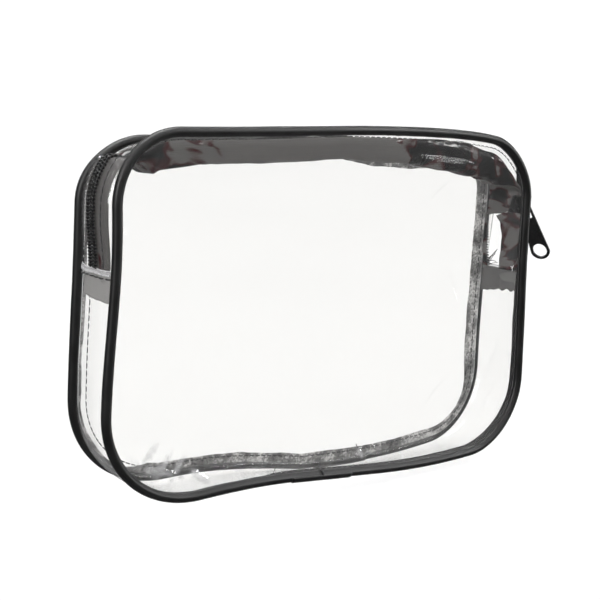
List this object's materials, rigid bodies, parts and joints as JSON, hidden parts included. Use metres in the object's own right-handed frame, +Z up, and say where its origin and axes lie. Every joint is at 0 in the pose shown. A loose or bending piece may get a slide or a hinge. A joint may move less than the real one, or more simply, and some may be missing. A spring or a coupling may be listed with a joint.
{
  "type": "makeup bag",
  "caption": "Clear zipped makeup bag: a soft rectangular pouch with corded seams, a folding front panel and a zip slider with a pull.",
  "frame": {"origin": "middle of the underside, on the surface that the bag stands on", "axes": "+Z up, -Y to the front panel, +X to the side where the zip closes"},
  "size_m": [0.258, 0.0326, 0.15],
  "materials": {
    "clear_sheet": "clear flexible vinyl sheet, high gloss, faint creases",
    "black_piping": "smooth black vinyl, satin",
    "piping_cord": "soft plastic cord, hidden",
    "seam_binding": "thin woven binding seen through sheet",
    "zip_tape": "woven polyester tape",
    "zip_coil": "nylon coil",
    "black_thread": "twisted sewing thread",
    "slider_metal": "black enamel, satin",
    "pull_metal": "black enamel, satin"
  },
  "bodies": {
    "pouch": {"back_facing_thread": "black_thread", "back_panel": "clear_sheet", "back_piping": "black_piping", "back_piping_cord": "piping_cord", "back_piping_sleeve": "black_piping", "back_seam_binding": "seam_binding", "back_seam_thread": "black_thread", "back_zip_coil": "zip_coil", "back_zip_facing": "clear_sheet", "back_zip_tape": "zip_tape", "front_panel_lower": "clear_sheet", "front_piping_lower": "black_piping", "front_piping_lower_cord": "piping_cord", "front_piping_sleeve": "black_piping", "front_seam_flange_lower": "seam_binding", "front_seam_thread_lower": "black_thread", "left_end_thread": "black_thread", "left_zip_end_tab": "zip_tape", "lower_gusset": "clear_sheet", "right_end_thread": "black_thread", "right_zip_end_tab": "zip_tape"},
    "front_flap": {"front_panel_upper": "clear_sheet", "front_piping_upper": "black_piping", "front_piping_upper_cord": "piping_cord", "front_seam_flange_upper": "seam_binding", "front_seam_thread_upper": "black_thread", "front_zip_facing": "clear_sheet", "front_zip_tape": "zip_tape", "front_zip_coil": "zip_coil", "front_facing_thread": "black_thread"},
    "slider": {"slider_body": "slider_metal", "slider_bridge": "slider_metal"},
    "pull": {"pull_tab": "pull_metal"}
  },
  "joints": [
    {"name": "flap_open", "type": "hinge", "parent": "pouch", "child": "front_flap", "pos_m": [0, -0.016, 0.085], "axis": [1, 0, 0], "range_deg": [0, 45], "deforming": ["front_zip_tape", "front_zip_coil"]},
    {"name": "slider_travel", "type": "slide", "parent": "pouch", "child": "slider", "axis": [0.181, 0, 0.9835], "range_m": [-0.023, 0]},
    {"name": "pull_swing", "type": "hinge", "parent": "slider", "child": "pull", "pos_m": [0.1248, -0.0015, 0.11506], "axis": [0.3584, -0.9063, 0.2239], "range_deg": [-30, 60]}
  ]
}
